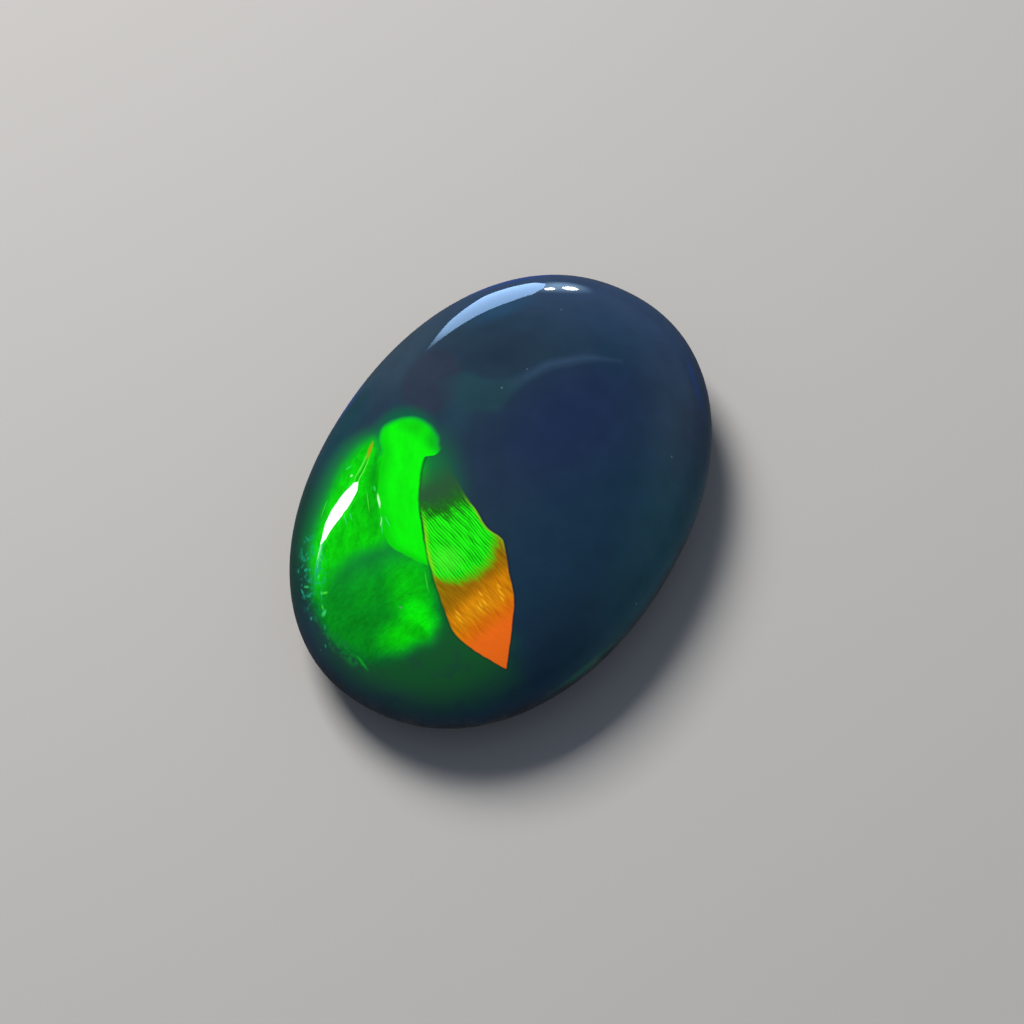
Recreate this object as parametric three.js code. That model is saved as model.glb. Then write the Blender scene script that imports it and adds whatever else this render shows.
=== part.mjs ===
// A black opal cut as an oval cabochon: one solid polished stone, with a low dome that turns down
// over a tight shoulder, a rounded girdle, and a shallow back that ends in a small flat spot.
// The stone rests on the flat spot, and its widest level stands clear of the surface.
//
// Units are millimetres. +X runs along the stone's length, +Y across its width, and +Z up through
// the dome. The origin is the centre of the flat spot.

import * as THREE from "three";

// Driving dimensions
const stoneLength = 12.0;
const stoneWidth = 8.4;
const girdleHeight = 1.2; // the widest level, above the flat spot
const domeRise = 2.0; // the top of the dome, above the girdle
const flatSpotShare = 0.5; // length and width of the flat spot, as a share of the stone's

// Fullness of each curve: 2 is an ellipse, and more is fuller at the corners
const outlineFullness = 2.13;
const domeFullness = { across: 3.0, up: 2.2 };
const backFullness = { across: 2.4, up: 2.0 };

// Fineness of the faceted surface
const stepsAround = 80;
const domeSteps = 20;
const backSteps = 8;

const quarterTurn = Math.PI / 2;

// A point on a quarter of a superellipse, as shares of its width and height. Angle 0 is its widest
// point and a quarter turn its highest.
function quarterCurve(angle, fullness) {
  return {
    across: Math.cos(angle) ** (2 / fullness.across),
    up: Math.sin(angle) ** (2 / fullness.up),
  };
}

// The back in section, from the edge of the flat spot out to just under the girdle
function backProfile() {
  const points = [];
  for (let step = 0; step < backSteps; step++) {
    const angle = quarterTurn * (1 - step / backSteps);
    const curve = quarterCurve(angle, backFullness);
    const across = flatSpotShare + (1 - flatSpotShare) * curve.across;
    points.push(new THREE.Vector2(across, girdleHeight * (1 - curve.up)));
  }
  return points;
}

// The dome in section, from the girdle up to just short of the apex
function domeProfile() {
  const points = [];
  for (let step = 0; step < domeSteps; step++) {
    const angle = (quarterTurn * step) / domeSteps;
    const curve = quarterCurve(angle, domeFullness);
    points.push(new THREE.Vector2(curve.across, girdleHeight + domeRise * curve.up));
  }
  return points;
}

// The whole section of a stone of radius 1, which starts and ends on the axis
function stoneProfile() {
  return [
    new THREE.Vector2(0, 0),
    ...backProfile(),
    ...domeProfile(),
    new THREE.Vector2(0, girdleHeight + domeRise),
  ];
}

// How far the oval outline reaches at an angle, where a circle of radius 1 reaches 1
function outlineReach(angle) {
  const along = Math.abs(Math.cos(angle)) ** outlineFullness;
  const across = Math.abs(Math.sin(angle)) ** outlineFullness;
  return (along + across) ** (-1 / outlineFullness);
}

// Stretches a round form of radius 1 about Z to the stone's outline
function stretchToOutline(geometry) {
  const position = geometry.getAttribute("position");
  for (let i = 0; i < position.count; i++) {
    const x = position.getX(i);
    const y = position.getY(i);
    const reach = outlineReach(Math.atan2(y, x));
    position.setXY(i, (x * reach * stoneLength) / 2, (y * reach * stoneWidth) / 2);
  }
  geometry.computeVertexNormals();
}

// The stone: the section turned about its axis, stood up along Z and stretched to the oval
function makeStone() {
  const geometry = new THREE.LatheGeometry(stoneProfile(), stepsAround);
  geometry.rotateX(quarterTurn);
  stretchToOutline(geometry);
  const polishedOpal = new THREE.MeshStandardMaterial({
    color: 0x22304a,
    roughness: 0.08,
    metalness: 0,
  });
  const stone = new THREE.Mesh(geometry, polishedOpal);
  stone.name = "black_opal";
  return stone;
}

const part = new THREE.Group();
part.add(makeStone());

export default part;
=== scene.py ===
import math

import bpy
from mathutils import Matrix, Vector


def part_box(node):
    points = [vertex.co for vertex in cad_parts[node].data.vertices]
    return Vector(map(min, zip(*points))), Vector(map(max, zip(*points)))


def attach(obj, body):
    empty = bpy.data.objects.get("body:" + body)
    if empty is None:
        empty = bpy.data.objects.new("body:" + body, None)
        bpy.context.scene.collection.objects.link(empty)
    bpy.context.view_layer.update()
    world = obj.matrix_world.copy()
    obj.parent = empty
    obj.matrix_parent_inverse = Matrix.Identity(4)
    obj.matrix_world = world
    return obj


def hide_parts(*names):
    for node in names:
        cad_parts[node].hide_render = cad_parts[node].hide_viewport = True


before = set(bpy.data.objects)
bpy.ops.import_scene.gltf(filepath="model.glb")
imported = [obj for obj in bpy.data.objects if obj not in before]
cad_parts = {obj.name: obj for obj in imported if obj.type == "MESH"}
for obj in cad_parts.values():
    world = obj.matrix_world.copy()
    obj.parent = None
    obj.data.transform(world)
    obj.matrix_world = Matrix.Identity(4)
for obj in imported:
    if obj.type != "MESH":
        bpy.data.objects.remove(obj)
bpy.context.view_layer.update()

# A black opal cabochon: one polished stone on a pale floor. The colour play is drawn in the
# material, on a drawing plane in millimetres: plan coordinates, spread outward down the sides.
mm = 0.001
quarterTurn = math.pi / 2
lowCorner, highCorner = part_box("black_opal")
print("frame loaded, stone", [round((b - a) / mm, 2) for a, b in zip(lowCorner, highCorner)], "mm")


# Colours are written as they look on screen, 0 to 255, and turned into scene-linear values
def colour(red, green, blue):
    def linear(value):
        share = value / 255
        return share / 12.92 if share <= 0.04045 else ((share + 0.055) / 1.055) ** 2.4
    return (linear(red), linear(green), linear(blue), 1.0)


# A direction from its angle round Z (0 along +X) and its height above the floor, in degrees
def direction(around, height):
    a, h = math.radians(around), math.radians(height)
    return Vector((math.cos(a) * math.cos(h), math.sin(a) * math.cos(h), math.sin(h)))


# Camera, at the photograph's viewing angle
view = {
    "lens": 85.0,                   # mm
    "sensor": 36.0,                 # mm wide
    "near": 1 * mm,
    "far": 10.0,
    "turn": -61.05,                 # degrees round the stone, 0 looks along +Y
    "height": 62.0,                 # degrees above the floor
    "distance": 54.23 * mm,
    "aim": (-0.487 * mm, -0.480 * mm, 1.6 * mm),
}


def makeCamera():
    data = bpy.data.cameras.new("camera")
    data.lens = view["lens"]
    data.sensor_width = view["sensor"]
    data.clip_start = view["near"]
    data.clip_end = view["far"]
    camera = bpy.data.objects.new("camera", data)
    turn = math.radians(view["turn"])
    right = Vector((math.cos(turn), math.sin(turn), 0))
    back = direction(view["turn"] - 90, view["height"])
    facing = Matrix((right, back.cross(right), back)).transposed().to_4x4()
    camera.matrix_world = Matrix.Translation(Vector(view["aim"]) + back * view["distance"]) @ facing
    bpy.context.scene.collection.objects.link(camera)
    bpy.context.scene.camera = camera


makeCamera()
print("camera placed")


# The stone's form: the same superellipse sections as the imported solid, with a fine surface
stone = {
    "girdleShare": 0.375,           # height of the widest level, as a share of the stone's height
    "flatShare": 0.5,               # size of the flat spot, as a share of the stone's
    "outlineFullness": 2.13,        # 2 is an ellipse, more is fuller at the corners
    "domeAcross": 3.0,
    "domeUp": 2.2,
    "backAcross": 2.4,
    "backUp": 2.0,
    "stepsAround": 320,
    "domeRings": 110,
    "backRings": 40,
}
stoneSize = highCorner - lowCorner
girdleHeight = stoneSize.z * stone["girdleShare"]
domeRise = stoneSize.z - girdleHeight


# A point on a quarter of a superellipse, from its widest point (angle 0) to its highest
def quarterCurve(angle, fullAcross, fullUp):
    return max(math.cos(angle), 0) ** (2 / fullAcross), max(math.sin(angle), 0) ** (2 / fullUp)


# Rings from just under the apex down to the rim of the flat spot: share of the outline, height
def stoneRings():
    rings = []
    for step in range(1, stone["domeRings"]):
        angle = quarterTurn * (1 - step / stone["domeRings"])
        across, up = quarterCurve(angle, stone["domeAcross"], stone["domeUp"])
        rings.append((across, girdleHeight + domeRise * up))
    for step in range(stone["backRings"] + 1):
        angle = quarterTurn * step / stone["backRings"]
        across, up = quarterCurve(angle, stone["backAcross"], stone["backUp"])
        rings.append((stone["flatShare"] + (1 - stone["flatShare"]) * across, girdleHeight * (1 - up)))
    return rings


def outlinePoint(angle):
    full = stone["outlineFullness"]
    reach = (abs(math.cos(angle)) ** full + abs(math.sin(angle)) ** full) ** (-1 / full)
    return math.cos(angle) * reach * stoneSize.x / 2, math.sin(angle) * reach * stoneSize.y / 2


def makeStone():
    around = stone["stepsAround"]
    outline = [outlinePoint(2 * math.pi * step / around) for step in range(around)]
    points = [(0, 0, stoneSize.z)]
    faces = []
    rings = stoneRings()
    for share, height in rings:
        points += [(x * share, y * share, height) for x, y in outline]
    for step in range(around):
        faces.append((0, 1 + step, 1 + (step + 1) % around))
    for ring in range(len(rings) - 1):
        upper = 1 + ring * around
        lower = upper + around
        for step in range(around):
            after = (step + 1) % around
            faces.append((upper + step, lower + step, lower + after, upper + after))
    last = 1 + (len(rings) - 1) * around
    points.append((0, 0, 0))
    for step in range(around):
        faces.append((len(points) - 1, last + (step + 1) % around, last + step))
    mesh = bpy.data.meshes.new("opal_stone")
    mesh.from_pydata(points, [], faces)
    mesh.shade_smooth()
    stoneObject = bpy.data.objects.new("opal_stone", mesh)
    bpy.context.scene.collection.objects.link(stoneObject)
    print("stone meshed,", len(faces), "faces")
    return stoneObject


# Node helpers. A socket given as an input is linked, and a plain value is set.
def addNode(tree, kind, inputs=None, **settings):
    node = tree.nodes.new("ShaderNode" + kind)
    for name, value in settings.items():
        setattr(node, name, value)
    for name, value in (inputs or {}).items():
        if isinstance(value, bpy.types.NodeSocket):
            tree.links.new(value, node.inputs[name])
        else:
            node.inputs[name].default_value = value
    return node


def calc(tree, operation, a, b=0.0, c=0.0):
    return addNode(tree, "Math", {0: a, 1: b, 2: c}, operation=operation).outputs[0]


# 0 below low and 1 above high, with a smooth step between; high may be the smaller one
def smoothStep(tree, value, low, high, least=0.0, most=1.0):
    node = addNode(tree, "MapRange", {0: value, 1: low, 2: high, 3: least, 4: most},
                   interpolation_type="SMOOTHSTEP")
    return node.outputs[0]


def mixColours(tree, share, below, above):
    return addNode(tree, "Mix", {0: share, 6: below, 7: above}, data_type="RGBA").outputs[2]


def mixValues(tree, share, below, above):
    return addNode(tree, "Mix", {0: share, 2: below, 3: above}, data_type="FLOAT").outputs[0]


# Coordinates in a frame with its origin and its turn in degrees on the drawing plane
def turned(tree, plane, origin, turn):
    node = addNode(tree, "Mapping", {"Vector": plane, "Location": (*origin, 0),
                                     "Rotation": (0, 0, math.radians(turn))}, vector_type="TEXTURE")
    parts = addNode(tree, "SeparateXYZ", {0: node.outputs[0]})
    return node.outputs[0], parts.outputs[0], parts.outputs[1]


# A drawn curve: value as a function of place, through the given points
def drawnCurve(tree, place, points):
    node = addNode(tree, "FloatCurve", {"Value": place})
    mapping = node.mapping
    mapping.use_clip = False
    curve = mapping.curves[0]
    points = sorted(points)
    while len(curve.points) < len(points):
        curve.points.new(0.5, 0.5)
    for point, (x, y) in zip(curve.points, points):
        point.location = (x, y)
    mapping.update()
    for point in curve.points:
        point.handle_type = "AUTO_CLAMPED"
    mapping.update()
    return node.outputs[0]


# Points of the drawing plane as (along, across) in a turned frame
def inFrame(points, origin, turn):
    c, s = math.cos(math.radians(turn)), math.sin(math.radians(turn))
    moved = [(x - origin[0], y - origin[1]) for x, y in points]
    return [(x * c + y * s, y * c - x * s) for x, y in moved]


# How deep a place lies inside a patch between two drawn edges, in mm; less than 0 is outside.
# Also gives the place along the patch, and the distances to its upper and its lower edge.
def depthBetween(tree, plane, patch):
    _, along, across = turned(tree, plane, patch["origin"], patch["turn"])
    upper = inFrame(patch["upperEdge"], patch["origin"], patch["turn"])
    lower = inFrame(patch["lowerEdge"], patch["origin"], patch["turn"])
    toUpper = calc(tree, "SUBTRACT", drawnCurve(tree, along, upper), across)
    toLower = calc(tree, "SUBTRACT", across, drawnCurve(tree, along, lower))
    ends = [place for place, _ in upper + lower]
    toEnds = calc(tree, "MINIMUM", calc(tree, "SUBTRACT", along, min(ends)),
                  calc(tree, "SUBTRACT", max(ends), along))
    depth = calc(tree, "MINIMUM", calc(tree, "MINIMUM", toUpper, toLower), toEnds)
    return depth, along, toUpper, toLower


# A soft oval spot: 1 inside, 0 past its radii, fading over the outer part that soft gives
def spot(tree, plane, centre, radii, turn=0.0, soft=0.8):
    node = addNode(tree, "Mapping", {"Vector": plane, "Location": (*centre, 0), "Scale": (*radii, 1),
                                     "Rotation": (0, 0, math.radians(turn))}, vector_type="TEXTURE")
    ball = addNode(tree, "TexGradient", {"Vector": node.outputs[0]}, gradient_type="SPHERICAL")
    return smoothStep(tree, ball.outputs["Fac"], 0.0, soft)


# A stroke from one point to another, fading to both ends; bend is how far its middle bows, in mm
def stroke(tree, plane, start, end, width, bend=0.0, soft=0.6):
    run = Vector(end) - Vector(start)
    middle = (Vector(end) + Vector(start)) / 2
    turn = math.degrees(math.atan2(run.y, run.x))
    if not bend:
        return spot(tree, plane, middle, (run.length / 2, width / 2), turn, soft)
    _, along, across = turned(tree, plane, middle, turn)
    along = calc(tree, "MULTIPLY", along, 2 / run.length)
    square = calc(tree, "MULTIPLY", along, along)
    across = calc(tree, "SUBTRACT", calc(tree, "MULTIPLY_ADD", square, bend, across), bend)
    reach = calc(tree, "MULTIPLY_ADD", calc(tree, "ABSOLUTE", across), 2 / width, square)
    return smoothStep(tree, reach, 1.0, 1.0 - soft)


# Noise from 0 to 1. Stretch draws it out along and across a direction that turn gives in degrees.
def noise(tree, vector, scale, detail=3.0, stretch=None, turn=0.0, roughness=0.5):
    if stretch:
        grain = {"Vector": vector, "Scale": (*stretch, 1), "Rotation": (0, 0, math.radians(turn))}
        vector = addNode(tree, "Mapping", grain, vector_type="TEXTURE").outputs[0]
    return addNode(tree, "TexNoise", {"Vector": vector, "Scale": scale, "Detail": detail,
                                      "Roughness": roughness}).outputs[0]


# The same noise round 0, to brighten and darken with
def ripple(tree, vector, **grain):
    return calc(tree, "SUBTRACT", noise(tree, vector, **grain), 0.5)


def times(tree, *values):
    product = values[0]
    for value in values[1:]:
        if value != 1.0:
            product = calc(tree, "MULTIPLY", product, value)
    return product


# The drawing plane: object coordinates in mm, spread outward below the top of the dome
planeSpread = 0.3


def drawingPlane(tree):
    place = addNode(tree, "TexCoord").outputs["Object"]
    inMm = addNode(tree, "VectorMath", {0: place, "Scale": 1 / mm}, operation="SCALE").outputs[0]
    height = addNode(tree, "SeparateXYZ", {0: inMm}).outputs[2]
    below = calc(tree, "DIVIDE", calc(tree, "SUBTRACT", stoneSize.z / mm, height), domeRise / mm)
    factor = calc(tree, "MULTIPLY_ADD", below, planeSpread, 1.0)
    flat = addNode(tree, "CombineXYZ", {0: factor, 1: factor, 2: 0.0}).outputs[0]
    plane = addNode(tree, "VectorMath", {0: inMm, 1: flat}, operation="MULTIPLY").outputs[0]
    return plane, inMm, height


# The same plane with its places nudged by noise, so that no drawn edge is perfectly smooth
def nudged(tree, plane, amount, scale):
    wobble = addNode(tree, "TexNoise", {"Vector": plane, "Scale": scale, "Detail": 2.0})
    centred = addNode(tree, "VectorMath", {0: wobble.outputs["Color"], 1: (-0.5, -0.5, -0.5)},
                      operation="ADD")
    return addNode(tree, "VectorMath", {0: centred.outputs[0], 1: (amount, amount, 0), 2: plane},
                   operation="MULTIPLY_ADD").outputs[0]


# Layers of colour, one over the other. Glow is how much of the colour is painted glow, given off as light
# from inside though the stone is no lamp.
class Layers:
    def __init__(self, tree, base, glow):
        self.tree = tree
        self.colour = base
        self.glow = glow

    def add(self, mask, layerColour, glow=None):
        self.colour = mixColours(self.tree, mask, self.colour, layerColour)
        if glow is not None:
            self.glow = mixValues(self.tree, mask, self.glow, glow)

    # Soft spots, each as (colour, centre, radii, turn, soft, strength)
    def addSpots(self, plane, palette, spots, within=1.0):
        for name, centre, radii, turn, soft, strength in spots:
            oval = spot(self.tree, plane, centre, radii, turn, soft)
            self.add(times(self.tree, oval, within, strength), palette[name])

    # Brightens or darkens what is there; strength is the gain where the mask is 1
    def shade(self, mask, strength):
        gain = calc(self.tree, "MULTIPLY_ADD", mask, strength, 1.0)
        brighter = addNode(self.tree, "HueSaturation", {"Color": self.colour, "Value": gain})
        self.colour = brighter.outputs[0]


# The dark body of the stone, with a painted glow along its lower right rim and a painted reflection at its
# right end
body = {
    "slate": colour(34, 54, 71),
    "low": colour(25, 51, 72),
    "lowRight": colour(47, 63, 84),
    "upper": colour(45, 64, 80),
    "violet": colour(29, 43, 75),
    # The right end's colour: partly the stone's own tone, partly a painted reflection, lighter and bluer
    "right": colour(45, 65, 94),
    "dark": colour(32, 48, 66),
    "dusk": colour(45, 52, 70),
    "teal": colour(36, 66, 82),
    "streakSide": colour(34, 70, 98),
    "rimBlue": colour(30, 66, 140),
    "rimSlate": colour(22, 60, 70),
    "rimGreen": colour(16, 58, 44),
    # A painted glow: light coming out through the thin lower right rim
    "paintedRimGlow": colour(22, 104, 84),
    "lowRim": colour(40, 80, 94),
    "glow": 0.14,
    "cloud": {"scale": 0.5},
    "bandTurn": 10.0,               # degrees, how the broad bands of colour lie across the stone
    # Each band as (how far the cloud pushes it, where it begins, where it is full), in mm
    "lowBand": (1.6, 0.9, -0.9),
    "upperBand": (1.0, 2.0, 3.8),
    "upperFrom": (0.2, 1.8),
    "lowRimBand": (0.0, -2.7, -4.9),
    "rightToneAndReflectionBand": (1.2, 3.2, 6.4),
    # Each spot as (colour, centre, radii, turn, soft, strength)
    "lowSpots": [("lowRight", (4.0, -3.4), (4.0, 2.6), 20, 1.0, 1.0)],
    "violetSpot": ((1.4, -0.9), (3.5, 2.3), -16, 1.0),
    "violetAboveVeil": 0.3,         # share of the violet that is left above the veil
    "veilSpots": [
        ("dark", (2.3, 1.3), (1.2, 0.7), -30, 0.9, 0.8),
        ("teal", (0.6, 1.45), (1.3, 0.6), 15, 0.9, 0.7),
        ("dusk", (0.95, 2.45), (1.15, 0.85), 30, 0.3, 0.7),
        ("streakSide", (3.6, 2.1), (1.2, 0.5), -35, 0.8, 0.6),
    ],
    "rimSpots": [
        ("rimSlate", (-1.0, 4.2), (2.4, 1.0), 8, 0.8, 0.8),
        ("rimGreen", (-4.4, 3.9), (3.2, 1.5), 22, 0.7, 0.85),
        ("rimBlue", (0.0, 4.85), (1.1, 0.4), -5, 0.8, 0.6),
        ("rimBlue", (5.5, 2.9), (2.4, 0.65), -46, 0.6, 0.75),
    ],
    # Each stroke as (colour, start, end, width, bend, strength, glow)
    "rimStrokes": [
        ("rimBlue", (5.7, -2.3), (4.1, -4.1), 0.3, -0.15, 0.6, None),
        # This teal stroke is a painted glow along the lower right rim, light coming out through the thin
        # edge
        ("paintedRimGlow", (-5.1, -4.1), (-2.3, -5.1), 0.44, -0.14, 0.75, 0.4),
    ],
    "mottle": {"scale": 1.3, "detail": 4.0, "roughness": 0.6},
    "mottleStrength": 0.45,
}


# A faint pale veil in the dark body, wide and teal at one end and a thin arc at the other
veil = {
    "teal": colour(35, 66, 77),
    "arc": colour(50, 73, 100),
    "origin": (0.2, 1.6),
    "turn": -45.0,
    "upperEdge": [(0.9, 2.3), (1.38, 1.9), (1.5, 1.2), (1.8, 0.75), (2.18, 0.5), (2.6, 0.27),
                  (3.15, -0.3), (3.55, -1.15)],
    "lowerEdge": [(0.4, 1.6), (0.55, 1.15), (0.85, 0.65), (1.35, 0.55), (1.9, 0.4), (2.43, 0.12),
                  (3.05, -0.45), (3.55, -1.15)],
    "belowFade": (0.06, -0.2),      # fades in mm, each as (where it begins, where it is full)
    "edgeFade": (-0.12, 0.14),
    "startFade": (-0.3, 0.8),
    "arcFade": (1.3, 2.4),
    "strength": 0.75,
}


# A broad band of colour, its edge pushed about by the cloud
def band(tree, place, cloud, edges):
    push, begins, full = edges
    if push:
        place = calc(tree, "MULTIPLY_ADD", cloud, push, place)
    return smoothStep(tree, place, begins, full)


def paintBody(tree, plane):
    layers = Layers(tree, body["slate"], body["glow"])
    cloud = noise(tree, plane, **body["cloud"])
    _, along, across = turned(tree, plane, (0, 0), body["bandTurn"])
    layers.add(band(tree, across, cloud, body["lowBand"]), body["low"])
    layers.add(times(tree, band(tree, across, cloud, body["upperBand"]),
                     smoothStep(tree, along, *body["upperFrom"])), body["upper"])
    layers.add(band(tree, across, cloud, body["lowRimBand"]), body["lowRim"])
    layers.addSpots(plane, body, body["lowSpots"])
    # The right end: the stone's own tone with a painted reflection over it
    layers.add(band(tree, along, cloud, body["rightToneAndReflectionBand"]), body["right"])

    # The violet is full below the veil and faint above it
    depth, alongVeil, _, toVeilFoot = depthBetween(tree, plane, veil)
    belowVeil = smoothStep(tree, toVeilFoot, *veil["belowFade"])
    violet = spot(tree, plane, *body["violetSpot"])
    left = body["violetAboveVeil"]
    layers.add(times(tree, violet, calc(tree, "MULTIPLY_ADD", belowVeil, 1 - left, left)), body["violet"])
    layers.addSpots(plane, body, body["veilSpots"])
    veilMask = times(tree, smoothStep(tree, depth, *veil["edgeFade"]),
                     smoothStep(tree, alongVeil, *veil["startFade"]), veil["strength"])
    toArc = smoothStep(tree, alongVeil, *veil["arcFade"])
    layers.add(veilMask, mixColours(tree, toArc, veil["teal"], veil["arc"]))
    layers.addSpots(plane, body, body["rimSpots"])
    for name, start, end, width, bend, strength, glow in body["rimStrokes"]:
        bow = stroke(tree, plane, start, end, width, bend, soft=1.0)
        layers.add(times(tree, bow, strength), body[name], glow)
    layers.shade(ripple(tree, plane, **body["mottle"]), body["mottleStrength"])
    return layers


# The broad green glow and the round panel at the low end
panel = {
    "deep": colour(22, 88, 44),
    "edge": colour(5, 102, 42),
    "green": colour(2, 140, 24),
    "bright": colour(4, 208, 4),
    "blob": colour(5, 246, 4),
    "glow": 0.4,
    "origin": (-6.4, 0.8),
    "turn": 0.0,
    "upperEdge": [(-6.4, 0.8), (-6.1, 1.7), (-5.6, 2.4), (-5.0, 2.75), (-4.4, 2.85), (-3.6, 2.8),
                  (-2.2, 2.6)],
    "lowerEdge": [(-6.4, 0.8), (-6.3, 0.4), (-5.9, -0.1), (-5.5, -0.4), (-5.1, -0.6), (-4.75, -0.8),
                  (-4.4, -0.8), (-4.0, -0.6), (-3.5, -0.2), (-2.9, 0.3), (-2.2, 0.9)],
    # The broad glow round the panel, which thins out in patches and stops beside the leaf
    "deepSpot": ((-4.9, -0.5), (2.8, 3.6), 20, 0.6),
    "deepPatches": (0.1, 0.5),
    "deepBesideLeaf": (-0.8, 0.2),
    "deepGlow": 0.3,
    "fade": {"scale": 1.1, "detail": 4.0},
    "ragged": 0.3,                  # mm, how far its edge wanders
    "edgeFade": (-0.3, 0.4),
    "greenFade": (-0.1, 0.55),
    # Each spot as (colour, centre, radii, turn, soft, strength)
    "wideSpots": [("bright", (-4.05, 0.15), (1.25, 0.8), 40, 0.9, 0.75)],
    "innerSpots": [
        ("bright", (-5.1, -0.15), (1.0, 0.65), -25, 0.9, 1.0),
        ("blob", (-4.6, -0.38), (0.85, 0.6), 40, 0.9, 1.0),
    ],
    "topSpots": [
        ("bright", (-4.2, 1.4), (1.1, 0.5), 35, 0.8, 0.25),
        ("bright", (-3.42, 0.7), (0.7, 0.9), 20, 0.8, 0.6),
        ("bright", (-6.35, 0.5), (0.3, 0.07), 65, 0.8, 0.7),
    ],
    # A line across the bright patch, with the colour darker on one side of it
    "rayStart": (-4.78, -0.8),
    "rayTurn": 72.0,
    "rayFade": (-0.03, 0.05),
    "raySpot": ((-4.85, -0.45), (0.3, 0.5)),
    "rayDarkening": -0.35,
    "silk": {"scale": 2.6, "stretch": (1.8, 1.0), "turn": -12, "roughness": 0.6},
    "threads": {"scale": 10.0, "stretch": (1.9, 1.0), "turn": -20, "roughness": 0.75},
    "threadShare": 1.1,
    "textureStrength": 0.85,
}


def paintPanel(tree, plane, layers):
    fade = noise(tree, plane, **panel["fade"])
    _, _, besideLeaf = turned(tree, plane, leaf["origin"], leaf["turn"])
    broad = times(tree, spot(tree, plane, *panel["deepSpot"]), smoothStep(tree, fade, *panel["deepPatches"]),
                  smoothStep(tree, besideLeaf, *panel["deepBesideLeaf"]))
    layers.add(broad, panel["deep"], panel["deepGlow"])
    depth, _, _, _ = depthBetween(tree, plane, panel)
    mask = smoothStep(tree, calc(tree, "MULTIPLY_ADD", fade, panel["ragged"], depth), *panel["edgeFade"])
    layers.add(mask, panel["edge"], panel["glow"])
    layers.add(times(tree, mask, smoothStep(tree, depth, *panel["greenFade"])), panel["green"])
    layers.addSpots(plane, panel, panel["wideSpots"])
    layers.addSpots(plane, panel, panel["innerSpots"], within=mask)
    _, _, side = turned(tree, plane, panel["rayStart"], panel["rayTurn"])
    besideRay = times(tree, smoothStep(tree, side, *panel["rayFade"]),
                         spot(tree, plane, *panel["raySpot"]))
    layers.shade(besideRay, panel["rayDarkening"])
    layers.addSpots(plane, panel, panel["topSpots"])
    silk = ripple(tree, plane, **panel["silk"])
    threads = ripple(tree, plane, **panel["threads"])
    texture = calc(tree, "MULTIPLY_ADD", threads, panel["threadShare"], silk)
    layers.shade(times(tree, texture, mask), panel["textureStrength"])


# The green wing along the upper left, over the panel
wing = {
    "haze": colour(14, 124, 52),
    "green": colour(6, 198, 6),
    "bright": colour(10, 222, 8),
    "shade": colour(4, 156, 10),
    "groove": colour(2, 140, 24),
    "glow": 0.45,
    "hazeGlow": 0.35,
    "origin": (-4.9, 2.3),
    "turn": 5.0,
    "upperEdge": [(-5.1, 2.4), (-4.5, 2.85), (-3.6, 3.05), (-2.6, 3.15), (-1.8, 3.15), (-1.2, 2.95),
                  (-0.7, 2.5)],
    "lowerEdge": [(-5.1, 2.4), (-4.4, 2.25), (-3.8, 1.9), (-3.3, 1.45), (-2.6, 1.2), (-1.6, 1.4),
                  (-0.7, 2.0)],
    "hazeAbove": (-1.2, 0.0),       # fades in mm, each as (where it begins, where it is full)
    "hazeRound": (-1.6, 0.0),
    "hazeStart": (-0.6, 1.2),
    "hazeEnd": (5.0, 3.8),
    "upperFade": (-0.5, 0.1),
    "edgeFade": (-0.55, 0.15),
    # Each spot as (colour, centre, radii, turn, soft, strength)
    "innerSpots": [
        ("bright", (-2.9, 2.75), (1.9, 0.42), -4, 0.8, 1.0),
        ("shade", (-2.3, 2.1), (1.5, 0.34), 30, 0.8, 0.6),
    ],
    "topSpots": [("groove", (-1.6, 2.46), (0.6, 0.1), 24, 0.8, 0.5)],
    "silk": {"scale": 4.5, "detail": 4.0, "stretch": (1.7, 1.0), "turn": 20, "roughness": 0.75},
    "textureStrength": 1.5,
}


def paintWing(tree, plane, layers):
    depth, along, toUpper, _ = depthBetween(tree, plane, wing)
    haze = times(tree, smoothStep(tree, toUpper, *wing["hazeAbove"]),
                 smoothStep(tree, depth, *wing["hazeRound"]),
                 smoothStep(tree, along, *wing["hazeStart"]), smoothStep(tree, along, *wing["hazeEnd"]))
    layers.add(haze, wing["haze"], wing["hazeGlow"])
    mask = times(tree, smoothStep(tree, toUpper, *wing["upperFade"]),
                 smoothStep(tree, depth, *wing["edgeFade"]))
    layers.add(mask, wing["green"], wing["glow"])
    layers.addSpots(plane, wing, wing["innerSpots"], within=mask)
    layers.addSpots(plane, wing, wing["topSpots"])
    layers.shade(times(tree, ripple(tree, plane, **wing["silk"]), mask), wing["textureStrength"])


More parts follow.
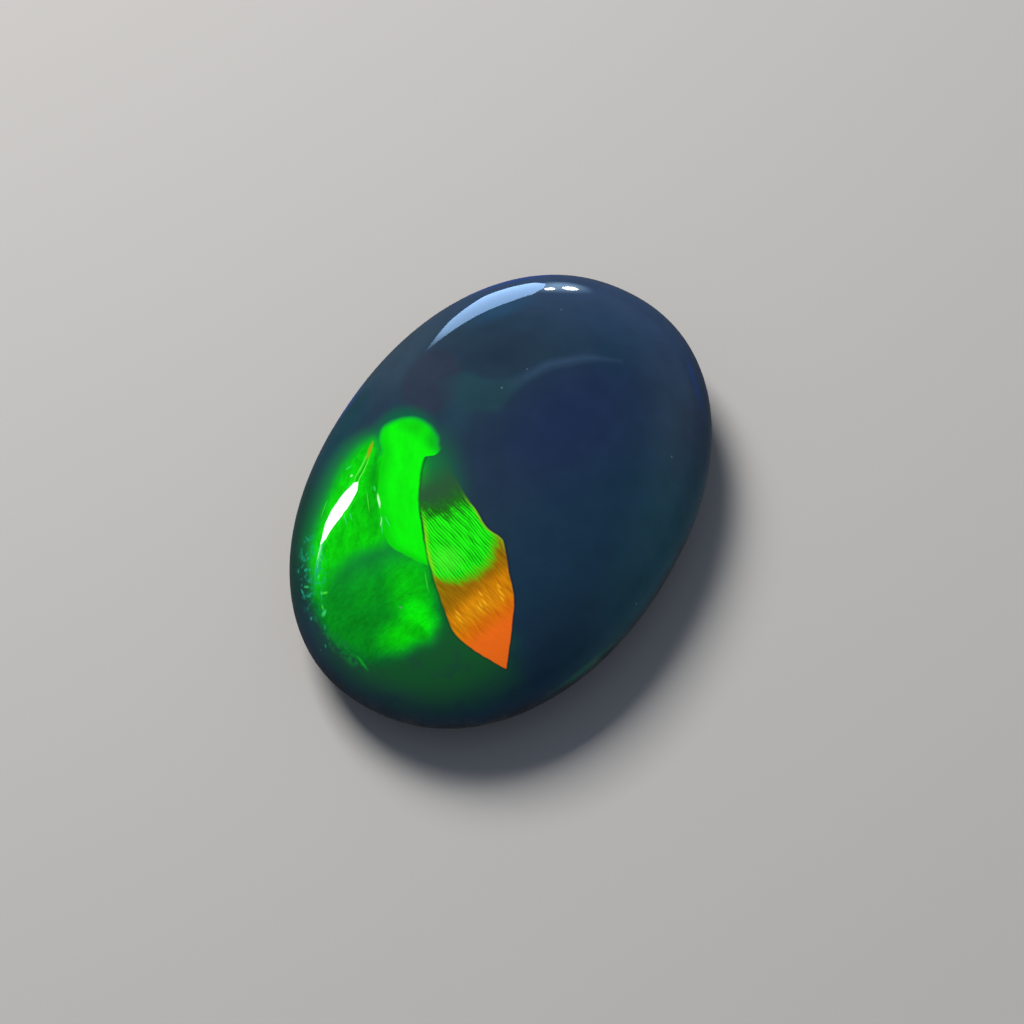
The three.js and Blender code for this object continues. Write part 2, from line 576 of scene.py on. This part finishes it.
# The flat bright finger, with a knob at its upper end
finger = {
    "green": colour(9, 243, 7),
    "dim": colour(8, 205, 8),
    "shade": colour(6, 150, 22),
    "fringe": colour(12, 94, 64),
    "glow": 0.55,
    "origin": (-3.25, 0.3),
    "turn": 30.0,
    "upperEdge": [(-3.24, 0.1), (-3.26, 0.4), (-3.25, 0.7), (-3.23, 1.06), (-3.08, 1.3), (-2.8, 1.52),
                  (-2.51, 1.78), (-2.2, 2.0), (-1.75, 2.23), (-1.25, 2.42), (-1.0, 2.66), (-0.7, 2.85),
                  (0.0, 3.1)],
    "lowerEdge": [(-3.24, 0.1), (-3.0, 0.27), (-2.5, 0.65), (-2.0, 1.04), (-1.5, 1.28), (-1.0, 1.46),
                  (-0.92, 1.46), (-0.84, 1.34), (-0.7, 1.27), (-0.4, 1.36), (0.2, 1.6)],
    "soft": 0.035,                  # mm, half the width of its edge
    "knobSofter": 0.05,             # added to that at the knob
    "knobSpot": ((-0.88, 2.06), (0.82, 0.88), 0, 0.28),
    "knobFade": (2.6, 2.9),         # fades in mm, each as (where it begins, where it is full)
    "fringeSpot": ((-0.62, 2.22), (0.86, 1.02), -20, 0.45),
    "fringeStrength": 0.85,
    "fringeGlow": 0.3,
    "dimFade": (0.35, 0.0),
    "dimStrength": 0.8,
    # Each spot as (colour, centre, radii, turn, soft, strength)
    "innerSpots": [
        ("dim", (-0.3, 2.2), (0.4, 0.7), -10, 0.8, 0.8),
        ("shade", (-0.44, 1.4), (0.42, 0.5), 0, 0.8, 0.75),
    ],
    "grain": {"scale": 2.0, "detail": 4.0, "stretch": (2.0, 1.0), "turn": 30, "roughness": 0.6},
    "textureStrength": 0.5,
    "shadowOuter": (-0.09, -0.02),
    "shadowInner": (0.02, -0.02),
    "shadowStart": (0.1, 0.5),
    "shadowEnd": (2.9, 2.5),
    "shadowBelow": (0.1, 0.3),
    "shadowShade": -0.5,
}


def paintFinger(tree, plane, layers):
    depth, along, toUpper, _ = depthBetween(tree, plane, finger)
    layers.add(times(tree, spot(tree, plane, *finger["fringeSpot"]), finger["fringeStrength"]),
               finger["fringe"], finger["fringeGlow"])
    inKnob = smoothStep(tree, along, *finger["knobFade"])
    knob = spot(tree, plane, *finger["knobSpot"])
    softness = calc(tree, "MULTIPLY_ADD", inKnob, finger["knobSofter"], finger["soft"])
    edge = calc(tree, "DIVIDE", depth, softness)
    mask = times(tree, smoothStep(tree, edge, -1.0, 1.0), mixValues(tree, inKnob, 1.0, knob))
    layers.add(mask, finger["green"], finger["glow"])
    layers.add(times(tree, mask, smoothStep(tree, toUpper, *finger["dimFade"]), finger["dimStrength"]),
               finger["dim"])
    layers.addSpots(plane, finger, finger["innerSpots"], within=mask)
    layers.shade(times(tree, ripple(tree, plane, **finger["grain"]), mask), finger["textureStrength"])

    # A thin shadow along its lower edge
    shadow = times(tree, smoothStep(tree, depth, *finger["shadowOuter"]),
                   smoothStep(tree, depth, *finger["shadowInner"]),
                   smoothStep(tree, along, *finger["shadowStart"]),
                   smoothStep(tree, along, *finger["shadowEnd"]),
                   smoothStep(tree, toUpper, *finger["shadowBelow"]))
    layers.shade(shadow, finger["shadowShade"])


# The leaf-shaped patch: fine lines across it, green above and orange towards its tip
leaf = {
    "slateGreen": colour(42, 86, 52),
    "honey": colour(228, 148, 14),
    "olive": colour(36, 84, 26),
    "darkGreen": colour(16, 126, 8),
    "shade": colour(18, 54, 10),
    "green": colour(34, 255, 20),
    "line": colour(8, 160, 6),
    "lime": colour(96, 170, 6),
    "pale": colour(86, 248, 52),
    "fringe": colour(140, 224, 20),
    "rightFringe": colour(150, 178, 40),
    "amber": colour(140, 110, 2),
    "brown": colour(154, 104, 2),
    "orange": colour(210, 130, 2),
    "deepOrange": colour(222, 112, 6),
    "flame": colour(246, 110, 22),
    "gold": colour(255, 186, 30),
    "glow": 0.5,
    "soft": 0.022,
    "origin": (-4.75, -2.7),
    "turn": 47.0,
    "upperEdge": [(-4.75, -2.7), (-4.66, -1.9), (-4.5, -1.3), (-4.3, -1.0), (-3.8, -0.5), (-3.25, 0.03),
                  (-3.0, 0.25), (-2.5, 0.6), (-2.0, 1.0), (-1.5, 1.28), (-0.9, 1.46)],
    "lowerEdge": [(-4.75, -2.7), (-4.0, -2.4), (-3.5, -2.18), (-3.0, -1.92), (-2.5, -1.5), (-2.0, -1.12),
                  (-1.92, -1.02), (-1.82, -0.6), (-1.55, -0.15), (-1.3, 0.3), (-1.0, 0.7), (-0.75, 1.2),
                  (-0.9, 1.46)],
    "streak": {"scale": 11.0, "stretch": (7.0, 1.0)},
    "fine": {"scale": 26.0, "detail": 2.0, "stretch": (9.0, 1.0)},
    "wander": {"scale": 1.4, "detail": 2.0},
    "mottle": {"scale": 9.0, "detail": 4.0, "roughness": 0.7},
    # The fine lines, which fan out a little and wander
    "lineTurn": 70.0,               # degrees, the way they run
    "lineSpacing": 0.062,           # mm
    "lineFan": 0.02,
    "lineWander": 0.16,
    "lineStreak": 0.03,
    "lineBreaks": 3.5,
    "lineFade": (-1.25, 1.9),
    # The green between its foot and its top, and the dark above it; fades are in mm along the lines
    "greenTop": [(-3.0, 1.3), (-2.25, 0.75), (-2.04, 0.28), (-1.8, 0.04), (-1.5, -0.08)],
    "greenFoot": [(-3.35, 0.0), (-3.4, -0.3), (-3.3, -0.55), (-3.05, -0.8), (-2.75, -0.97), (-2.5, -1.02),
                  (-2.2, -0.95), (-1.9, -0.85)],
    "edgeJitter": 0.35,
    "limeFade": (-0.26, 0.02),
    "greenFade": (-0.16, 0.2),
    "greenGlow": 0.5,
    "mottleFade": (0.35, 0.65),
    "raggedLines": 0.24,
    "raggedMiddle": 0.62,
    "raggedReach": 0.7,
    "darkFade": (-0.22, 0.32),
    "darkGlow": 0.3,
    "slateFade": (0.15, 0.8),
    "slateGlow": 0.2,
    # Places along the lines, in mm, where the colours of the lower part change
    "ramp": [(-4.0, "flame"), (-3.2, "flame"), (-2.9, "deepOrange"), (-2.6, "orange"), (-2.35, "orange"),
             (-2.05, "brown"), (-1.6, "amber")],
    "rampStreak": 0.45,
    "rampWander": 0.3,
    "streakFade": (-3.5, -2.6),
    "streakStrength": 1.0,
    "goldStrokes": [
        ((-4.17, -1.32), (-4.0, -0.93)), ((-4.02, -1.18), (-3.9, -0.9)), ((-3.7, -1.56), (-3.55, -1.22)),
        ((-3.6, -1.5), (-3.47, -1.24)), ((-3.5, -1.55), (-3.36, -1.3)), ((-3.34, -1.36), (-3.24, -1.14)),
        ((-3.13, -1.82), (-2.95, -1.43)), ((-3.24, -1.84), (-3.1, -1.6)), ((-2.98, -1.62), (-2.88, -1.4)),
    ],
    "goldWidth": 0.07,
    "goldStrength": 0.9,
    "goldGlow": 0.6,
    # Each spot as (colour, centre, radii, turn, soft, strength)
    "honeySpots": [("honey", (-3.65, -1.35), (1.0, 0.42), -28, 0.9, 0.5)],
    "paleSpots": [("pale", (-2.95, -0.2), (0.5, 0.5), 0, 0.8, 0.4)],
    "shadeSpots": [("shade", (-2.12, 0.62), (0.3, 0.16), -30, 0.8, 0.5)],
    # The bright fringes of its two long edges: width, start and end, each with its fade
    "fringeWidth": (0.11, 0.02),
    "fringeStart": (2.5, 3.1),
    "fringeEnd": (4.6, 3.6),
    "fringeBreaks": (0.25, 0.55),
    "fringeStrength": 0.75,
    "rightWidth": (0.06, 0.02),
    "rightStart": (2.7, 3.2),
    "rightEnd": (4.7, 3.8),
    "rightStrength": 0.7,
    "shadowFade": (-0.07, -0.01),
    "shadowEnd": (4.6, 3.9),
    "shadowShade": -0.4,
    "topFade": (5.5, 4.7),
}


def colourRamp(tree, place, stops, palette):
    low, high = stops[0][0], stops[-1][0]
    share = calc(tree, "DIVIDE", calc(tree, "SUBTRACT", place, low), high - low)
    node = addNode(tree, "ValToRGB", {0: share})
    elements = node.color_ramp.elements
    while len(elements) < len(stops):
        elements.new(0.5)
    for element, (at, _) in zip(elements, stops):
        element.position = (at - low) / (high - low)
    for element, (_, name) in zip(elements, stops):
        element.color = palette[name]
    return node.outputs[0]


# How far up the lines a place lies over an edge that is drawn across them, in mm
def overEdge(tree, upLine, acrossLine, points, jitter):
    along = inFrame(points, (0, 0), leaf["lineTurn"])
    edge = drawnCurve(tree, acrossLine, [(across, up) for up, across in along])
    return calc(tree, "ADD", calc(tree, "SUBTRACT", upLine, edge), jitter)


def fineLines(tree, upLine, acrossLine, wander, streakAbout, streaks):
    fan = calc(tree, "MULTIPLY_ADD", calc(tree, "MULTIPLY", upLine, acrossLine), leaf["lineFan"], acrossLine)
    streaked = calc(tree, "MULTIPLY_ADD", streakAbout, leaf["lineStreak"], fan)
    phase = calc(tree, "MULTIPLY_ADD", wander, leaf["lineWander"], streaked)
    wave = calc(tree, "SINE", calc(tree, "MULTIPLY", phase, 2 * math.pi / leaf["lineSpacing"]))
    return smoothStep(tree, calc(tree, "MULTIPLY_ADD", streaks, leaf["lineBreaks"], wave), *leaf["lineFade"])


def paintLeaf(tree, plane, layers):
    depth, along, toUpper, toLower = depthBetween(tree, plane, leaf)
    mask = smoothStep(tree, depth, -leaf["soft"], leaf["soft"])
    linePlane, upLine, acrossLine = turned(tree, plane, (0, 0), leaf["lineTurn"])

    # The orange part
    streak = noise(tree, linePlane, **leaf["streak"])
    streakAbout = calc(tree, "SUBTRACT", streak, 0.5)
    wander = noise(tree, linePlane, **leaf["wander"])
    wandered = calc(tree, "MULTIPLY_ADD", wander, leaf["rampWander"], upLine)
    place = calc(tree, "MULTIPLY_ADD", streakAbout, leaf["rampStreak"], wandered)
    place = calc(tree, "SUBTRACT", place, leaf["rampWander"] / 2)
    patch = Layers(tree, colourRamp(tree, place, leaf["ramp"], leaf), leaf["glow"])
    patch.addSpots(plane, leaf, leaf["honeySpots"])
    streaks = calc(tree, "ADD", streakAbout, ripple(tree, linePlane, **leaf["fine"]))
    patch.shade(times(tree, streaks, smoothStep(tree, upLine, *leaf["streakFade"])), leaf["streakStrength"])
    for start, end in leaf["goldStrokes"]:
        glint = stroke(tree, plane, start, end, leaf["goldWidth"], soft=1.0)
        patch.add(times(tree, glint, leaf["goldStrength"]), leaf["gold"], leaf["goldGlow"])

    # The green part with its lines, and the dark above it
    lines = fineLines(tree, upLine, acrossLine, wander, streakAbout, streaks)
    jitter = calc(tree, "MULTIPLY", streakAbout, leaf["edgeJitter"])
    overFoot = overEdge(tree, upLine, acrossLine, leaf["greenFoot"], jitter)
    overTop = overEdge(tree, upLine, acrossLine, leaf["greenTop"], jitter)
    patch.add(smoothStep(tree, overFoot, *leaf["limeFade"]), leaf["lime"])
    lined = mixColours(tree, lines, leaf["green"], leaf["line"])
    patch.add(smoothStep(tree, overFoot, *leaf["greenFade"]), lined, leaf["greenGlow"])
    patch.addSpots(plane, leaf, leaf["paleSpots"])
    mottle = noise(tree, plane, **leaf["mottle"])
    dark = mixColours(tree, smoothStep(tree, mottle, *leaf["mottleFade"]), leaf["olive"], leaf["darkGreen"])
    ragged = calc(tree, "MULTIPLY_ADD", lines, leaf["raggedLines"],
                  calc(tree, "SUBTRACT", mottle, leaf["raggedMiddle"]))
    overRagged = calc(tree, "MULTIPLY_ADD", ragged, leaf["raggedReach"], overTop)
    patch.add(smoothStep(tree, overRagged, *leaf["darkFade"]), dark, leaf["darkGlow"])
    patch.add(smoothStep(tree, overTop, *leaf["slateFade"]), leaf["slateGreen"], leaf["slateGlow"])
    patch.addSpots(plane, leaf, leaf["shadeSpots"])

    leftFringe = times(tree, smoothStep(tree, toUpper, *leaf["fringeWidth"]),
                       smoothStep(tree, along, *leaf["fringeStart"]),
                       smoothStep(tree, along, *leaf["fringeEnd"]),
                       smoothStep(tree, streak, *leaf["fringeBreaks"]), leaf["fringeStrength"])
    patch.add(leftFringe, leaf["fringe"])
    rightFringe = times(tree, smoothStep(tree, toLower, *leaf["rightWidth"]),
                        smoothStep(tree, along, *leaf["rightStart"]),
                        smoothStep(tree, along, *leaf["rightEnd"]), leaf["rightStrength"])
    patch.add(rightFringe, leaf["rightFringe"])
    shadow = times(tree, smoothStep(tree, depth, *leaf["shadowFade"]),
                   smoothStep(tree, along, *leaf["shadowEnd"]))
    layers.shade(shadow, leaf["shadowShade"])
    layers.add(times(tree, mask, smoothStep(tree, along, *leaf["topFade"])), patch.colour, patch.glow)
    return times(tree, lines, mask)


# Small bright marks: the forked line, thin lines and the rim's flecks and sparks, with painted highlights:
# the flick and the tail of the lamp's reflection
marks = {
    "white": colour(190, 255, 190),
    "lime": colour(80, 236, 60),
    "mint": colour(60, 224, 120),
    "cyan": colour(30, 170, 130),
    "edge": colour(16, 130, 50),
    "amber": colour(150, 168, 16),
    "rust": colour(190, 124, 10),
    "ink": colour(10, 84, 8),
    # Fine broken flecks along the low rim and up the end
    "fleck": {"scale": 4.5, "detail": 5.0, "roughness": 0.72},
    "fleckGlow": 0.4,
    "rimSpot": ((-4.9, 2.75), (1.5, 0.75), 28, 0.7),
    "rimStrength": 0.9,
    "rimFlecks": (0.5, 0.66),
    "endSpot": ((-6.25, 1.1), (0.4, 1.3), -15, 0.8),
    "endFlecks": (0.44, 0.6),
    # Each stroke as (start, end, width, colour, strength)
    "strokes": [
        ((-2.35, 2.74), (-1.15, 2.82), 0.07, "lime", 0.9),
        ((-2.35, 2.6), (-1.35, 2.72), 0.07, "lime", 0.9),
        ((-2.3, 2.66), (-1.4, 2.73), 0.03, "ink", 1.0),
        ((-1.62, 2.72), (-1.02, 2.88), 0.13, "amber", 1.0),
        ((-1.42, 2.77), (-1.14, 2.84), 0.04, "rust", 0.6),
        # A painted highlight: the white flick, a glint off the polish
        ((-2.54, 1.73), (-2.2, 2.02), 0.08, "white", 1.0),
        ((-3.12, 1.36), (-2.6, 1.7), 0.045, "mint", 0.7),
        ((-2.86, 1.28), (-2.6, 1.6), 0.04, "mint", 0.6),
        ((-2.95, 1.52), (-2.66, 1.62), 0.04, "white", 0.6),
        ((-2.78, 1.9), (-2.24, 2.32), 0.035, "lime", 0.7),
        ((-2.22, 2.06), (-2.08, 2.2), 0.05, "mint", 0.8),
        ((-3.28, 2.28), (-3.04, 2.58), 0.04, "mint", 0.6),
        ((-3.12, 2.22), (-2.92, 2.44), 0.04, "mint", 0.6),
        ((-3.46, 3.19), (-2.82, 3.22), 0.035, "lime", 0.7),
        ((-2.02, 3.18), (-1.82, 3.02), 0.05, "mint", 0.8),
        ((-2.13, 2.93), (-2.05, 2.87), 0.08, "white", 0.7),
        # A painted highlight: these three strokes are the cyan and white tail of the lamp's reflection
        ((-4.95, 2.58), (-3.55, 2.87), 0.15, "mint", 0.85),
        ((-4.55, 2.7), (-3.75, 2.84), 0.07, "white", 0.6),
        ((-5.1, 2.48), (-4.3, 2.76), 0.08, "cyan", 0.9),
        ((-4.62, 2.56), (-4.48, 2.72), 0.04, "lime", 0.7),
        ((-4.44, 2.5), (-4.3, 2.72), 0.04, "lime", 0.7),
        ((-4.28, 2.58), (-4.18, 2.74), 0.04, "mint", 0.7),
        ((-4.1, 3.2), (-4.02, 3.5), 0.06, "cyan", 0.6),
        ((-3.85, -0.25), (-3.35, 0.14), 0.04, "lime", 0.4),
    ],
    "strokeGlow": 0.6,
    # Each spark as (centre, radii, turn, colour, strength)
    "sparks": [
        ((-5.1, 2.1), (0.13, 0.05), -50, "lime", 0.8), ((-5.16, 2.2), (0.08, 0.05), 20, "mint", 0.8),
        ((-5.62, 1.94), (0.17, 0.08), -15, "mint", 0.8), ((-5.5, 2.03), (0.1, 0.05), 40, "lime", 0.6),
        ((-6.0, 2.31), (0.08, 0.06), 0, "cyan", 0.7), ((-6.5, 1.63), (0.07, 0.05), 20, "cyan", 0.6),
        ((-5.98, 1.78), (0.1, 0.05), 10, "cyan", 0.6), ((-5.45, 2.89), (0.13, 0.06), 60, "cyan", 0.8),
        ((-5.24, 2.78), (0.16, 0.05), -65, "mint", 0.6), ((-5.0, 3.31), (0.08, 0.06), 30, "cyan", 0.6),
        ((-4.51, 3.06), (0.08, 0.06), 0, "cyan", 0.7), ((-4.8, 2.47), (0.08, 0.05), 15, "mint", 0.7),
    ],
    "sparkGlow": 0.5,
}


def paintMarks(tree, plane, layers):
    fleck = noise(tree, plane, **marks["fleck"])
    rim = times(tree, spot(tree, plane, *marks["rimSpot"]), marks["rimStrength"])
    layers.add(times(tree, rim, smoothStep(tree, fleck, *marks["rimFlecks"])), marks["cyan"],
               marks["fleckGlow"])
    end = spot(tree, plane, *marks["endSpot"])
    layers.add(times(tree, end, smoothStep(tree, fleck, *marks["endFlecks"])), marks["edge"],
               marks["fleckGlow"])
    # Each stroke is a thin line of colour, except the flick and the lamp reflection's tail, which are
    # painted highlights
    for start, end, width, name, strength in marks["strokes"]:
        hairAndHighlight = stroke(tree, plane, start, end, width)
        layers.add(times(tree, hairAndHighlight, strength), marks[name], marks["strokeGlow"])
    for centre, radii, turn, name, strength in marks["sparks"]:
        spark = spot(tree, plane, centre, radii, turn)
        layers.add(times(tree, spark, strength), marks[name], marks["sparkGlow"])


# A few specks of dust, scattered over the polish
dust = {
    "colour": colour(120, 135, 150),
    "cellScale": 1.35,
    "size": (0.05, 0.02),           # shares of a cell, where a speck ends and where it is full
    "emptyShare": 0.62,             # of the cells, those that hold no speck
    "strength": 0.55,
}


def paintDust(tree, plane, layers):
    cells = addNode(tree, "TexVoronoi", {"Vector": plane, "Scale": dust["cellScale"]})
    picked = addNode(tree, "SeparateXYZ", {0: cells.outputs["Color"]})
    speck = times(tree, smoothStep(tree, cells.outputs["Distance"], *dust["size"]),
                  calc(tree, "GREATER_THAN", picked.outputs[0], dust["emptyShare"]), dust["strength"])
    layers.add(speck, dust["colour"])


# The dark backing of the stone, which shows on its lower sides and its back
backing = {
    "potch": colour(40, 44, 49),
    "potchPale": colour(70, 71, 69),
    "top": 1.75,                    # mm above the floor, where it begins to show
    "full": 0.9,
    "uneven": 0.5,                  # mm, how much its upper edge rises and falls
    "patches": {"scale": 1.2},
    "grain": {"scale": 3.0, "detail": 4.0, "roughness": 0.7},
    "paleFade": (0.45, 0.75),
}


def paintBacking(tree, inMm, height, patches, layers):
    lift = backing["uneven"] / 2
    mask = smoothStep(tree, calc(tree, "MULTIPLY_ADD", patches, backing["uneven"], height),
                      backing["top"] + lift, backing["full"] + lift)
    grain = noise(tree, inMm, **backing["grain"])
    pale = smoothStep(tree, grain, *backing["paleFade"])
    layers.add(mask, mixColours(tree, pale, backing["potch"], backing["potchPale"]), 0.0)
    return mask


# The polished surface over the colours
polish = {
    "ior": 1.45,
    "roughness": (0.34, 0.46),      # least and most, of the stone under the polish
    "roughnessFade": (0.3, 0.7),
    "coat": 0.5,
    "backingCoat": 0.25,
    "coatRoughness": 0.03,
    "coatIor": 1.37,
    "lineRelief": 0.02 * mm,
    "reliefStrength": 0.25,
    "nudge": (0.06, 2.5),           # how far drawn edges are nudged, in mm, and the noise's scale
    "panelNudge": (0.25, 1.2),
}


def opalMaterial():
    material = bpy.data.materials.new("black_opal_polish")
    material.cycles.emission_sampling = "NONE"   # its faint glow needn't be treated as a lamp
    material.use_nodes = True
    tree = material.node_tree
    tree.nodes.clear()
    plane, inMm, height = drawingPlane(tree)
    bent = nudged(tree, plane, *polish["nudge"])
    layers = paintBody(tree, plane)
    paintPanel(tree, nudged(tree, plane, *polish["panelNudge"]), layers)
    paintWing(tree, bent, layers)
    paintFinger(tree, bent, layers)
    lines = paintLeaf(tree, bent, layers)
    paintMarks(tree, bent, layers)
    paintDust(tree, plane, layers)
    patches = noise(tree, inMm, **backing["patches"])
    backed = paintBacking(tree, inMm, height, patches, layers)

    # The share of a colour that is painted glow, given off as light, isn't reflected again
    unlit = calc(tree, "SUBTRACT", 1.0, layers.glow)
    reflected = addNode(tree, "VectorMath", {0: layers.colour, "Scale": unlit}, operation="SCALE").outputs[0]
    relief = addNode(tree, "Bump", {"Strength": polish["reliefStrength"], "Distance": polish["lineRelief"],
                                    "Height": lines})
    shader = addNode(tree, "BsdfPrincipled", {
        "Base Color": reflected, "IOR": polish["ior"], "Specular IOR Level": 0.0,
        "Roughness": smoothStep(tree, patches, *polish["roughnessFade"], *polish["roughness"]),
        "Normal": relief.outputs[0],
        "Coat Weight": mixValues(tree, backed, polish["coat"], polish["backingCoat"]),
        "Coat Roughness": polish["coatRoughness"], "Coat IOR": polish["coatIor"],
        "Emission Color": layers.colour, "Emission Strength": layers.glow})
    output = addNode(tree, "OutputMaterial")
    tree.links.new(shader.outputs[0], output.inputs["Surface"])
    print("opal material made,", len(tree.nodes), "nodes")
    return material


opalStone = makeStone()
opalStone.data.materials.append(opalMaterial())
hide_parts("black_opal")
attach(opalStone, "root")


# Floor and light. Angles are round the stone from the camera's right, as the photograph shows them.
studio = {
    "floorSize": 0.6,
    "floorColour": (0.5, 0.49, 0.475, 1.0),
    "floorRoughness": 0.9,
    "worldColour": (0.62, 0.72, 0.9, 1.0),
    "worldStrength": 0.25,
}
softbox = {
    "around": 125,
    "height": 52,
    "distance": 0.12,
    "size": 0.05,
    "shape": "SQUARE",
    "power": 0.16,
    "colour": (1.0, 0.97, 0.93),
    "shines": True,
    "mirrored": False,
}

# Shining cards that are only seen mirrored in the polish: a lamp, a bright window, low and close by,
# two small lights beside it and a soft halo round them. Outlines are in mm, as (sideways, height).
cards = {
    "distance": 18 * mm,
    "white": (1.0, 1.0, 1.0, 1.0),
    "lampAround": 144,
    "lamp": [(7.4, 8.7), (5.2, 9.0), (3.5, 10.4), (1.9, 12.2), (0.5, 14.0), (0.0, 15.3), (0.6, 16.3),
             (2.2, 15.6), (3.8, 14.1), (5.3, 12.1), (7.0, 9.9)],
    "lampStrength": 110.0,
    "windowAround": 100,
    "window": [(-3.3, 0.05), (0.2, 0.05), (3.0, 3.1), (5.4, 7.3), (1.0, 6.6), (-1.6, 6.2), (-3.3, 5.3),
               (-4.1, 3.4), (-4.2, 1.4)],
    "windowColour": (0.37, 0.61, 1.0, 1.0),
    "windowStrength": 22.0,
    "windowFade": ((-1.0, 4.0), 4.4, 7.6),      # its middle, and how far off its light fades, in mm
    "sparkles": [((-4.6, 3.8), 0.9), ((-6.3, 3.3), 1.4)],       # middle and width of each
    "sparkleSides": 12,
    "sparkleStrength": 70.0,
    "halo": [(-9.0, 0.05), (-2.4, 0.05), (-2.0, 3.0), (-3.0, 6.0), (-8.6, 6.0), (-9.4, 3.0)],
    "haloColour": (0.45, 0.72, 1.0, 1.0),
    "haloStrength": 10.0,
    "haloFade": ((-5.5, 2.8), 0.2, 3.2),
    "haloBehind": 0.1 * mm,
    "discRadius": 290 * mm,
    "discHeight": 0.02 * mm,
    "discSides": 36,
    "discColour": (0.1, 0.1, 0.105, 1.0),
}


def makeFloor():
    half = studio["floorSize"] / 2
    corners = [(-half, -half, 0), (half, -half, 0), (half, half, 0), (-half, half, 0)]
    mesh = bpy.data.meshes.new("floor")
    mesh.from_pydata(corners, [], [range(len(corners))])
    floor = bpy.data.objects.new("floor", mesh)
    bpy.context.scene.collection.objects.link(floor)
    material = bpy.data.materials.new("pale_floor")
    material.use_nodes = True
    shader = material.node_tree.nodes["Principled BSDF"]
    shader.inputs["Roughness"].default_value = studio["floorRoughness"]
    shader.inputs["Specular IOR Level"].default_value = 0.0
    shader.inputs["Base Color"].default_value = studio["floorColour"]
    floor.data.materials.append(material)


def makeLight(name, light):
    data = bpy.data.lights.new(name, "AREA")
    data.shape = light["shape"]
    data.size = light["size"]
    data.energy = light["power"]
    data.color = light["colour"]
    lightObject = bpy.data.objects.new(name, data)
    towards = direction(view["turn"] + light["around"], light["height"])
    lightObject.location = towards * light["distance"]
    lightObject.rotation_euler = towards.to_track_quat("Z", "Y").to_euler()
    lightObject.visible_camera = False
    lightObject.visible_diffuse = light["shines"]
    lightObject.visible_glossy = light["mirrored"]
    bpy.context.scene.collection.objects.link(lightObject)


def makeCard(name, angle, outline, cardColour, strength, fade=None, behind=0.0):
    around = math.radians(view["turn"] + angle)
    away = Vector((math.cos(around), math.sin(around), 0)) * (cards["distance"] + behind)
    sideways = Vector((-math.sin(around), math.cos(around), 0))

    def onCard(place):
        return away + sideways * (place[0] * mm) + Vector((0, 0, place[1] * mm))

    mesh = bpy.data.meshes.new(name)
    mesh.from_pydata([onCard(place) for place in outline], [], [range(len(outline))])
    if fade:
        middle, near, far = fade
        fade = (onCard(middle), near * mm, far * mm)
    onlyMirrored(mesh, shiningMaterial(name, cardColour, strength, fade))


# Fade is a middle, and the distances from it where the light begins to fade and where it ends
def shiningMaterial(name, shineColour, strength, fade=None):
    material = bpy.data.materials.new(name)
    material.use_nodes = True
    tree = material.node_tree
    tree.nodes.clear()
    surface = addNode(tree, "Emission", {"Color": shineColour, "Strength": strength}).outputs[0]
    if fade:
        middle, near, far = fade
        place = addNode(tree, "TexCoord").outputs["Object"]
        reach = addNode(tree, "VectorMath", {0: place, 1: middle}, operation="DISTANCE").outputs["Value"]
        clear = addNode(tree, "BsdfTransparent").outputs[0]
        bright = smoothStep(tree, reach, far, near)
        surface = addNode(tree, "MixShader", {0: bright, 1: clear, 2: surface}).outputs[0]
    output = addNode(tree, "OutputMaterial")
    tree.links.new(surface, output.inputs["Surface"])
    return material


# A piece of the studio that only the polish sees
def onlyMirrored(mesh, material):
    mesh.materials.append(material)
    card = bpy.data.objects.new(mesh.name, mesh)
    bpy.context.scene.collection.objects.link(card)
    card.visible_camera = False
    card.visible_diffuse = False
    card.visible_shadow = False


def circle(sides, radius):
    turns = [2 * math.pi * step / sides for step in range(sides)]
    return [(math.cos(turn) * radius, math.sin(turn) * radius) for turn in turns]


# A dark disc on the floor round the stone, so that the pale floor doesn't whiten the stone's rim
def makeDarkDisc():
    outline = [(x, y, cards["discHeight"]) for x, y in circle(cards["discSides"], cards["discRadius"])]
    mesh = bpy.data.meshes.new("dark_disc")
    mesh.from_pydata(outline, [], [range(len(outline))])
    onlyMirrored(mesh, shiningMaterial("dark_disc", cards["discColour"], 1.0))


def makeCards():
    makeDarkDisc()
    windowAround = cards["windowAround"]
    makeCard("lamp_card", cards["lampAround"], cards["lamp"], cards["white"], cards["lampStrength"])
    makeCard("window_card", windowAround, cards["window"], cards["windowColour"], cards["windowStrength"],
             cards["windowFade"])
    makeCard("halo_card", windowAround, cards["halo"], cards["haloColour"], cards["haloStrength"],
             cards["haloFade"], cards["haloBehind"])
    for number, ((side, height), width) in enumerate(cards["sparkles"]):
        outline = [(side + x, height + y) for x, y in circle(cards["sparkleSides"], width / 2)]
        makeCard("sparkle_%d" % number, windowAround, outline, cards["white"], cards["sparkleStrength"])


def makeStudio():
    makeFloor()
    makeLight("softbox", softbox)
    makeCards()
    world = bpy.data.worlds.new("studio")
    world.use_nodes = True
    background = world.node_tree.nodes["Background"]
    background.inputs[0].default_value = studio["worldColour"]
    background.inputs[1].default_value = studio["worldStrength"]
    scene = bpy.context.scene
    scene.world = world
    scene.view_settings.view_transform = "Standard"
    print("studio made")


makeStudio()
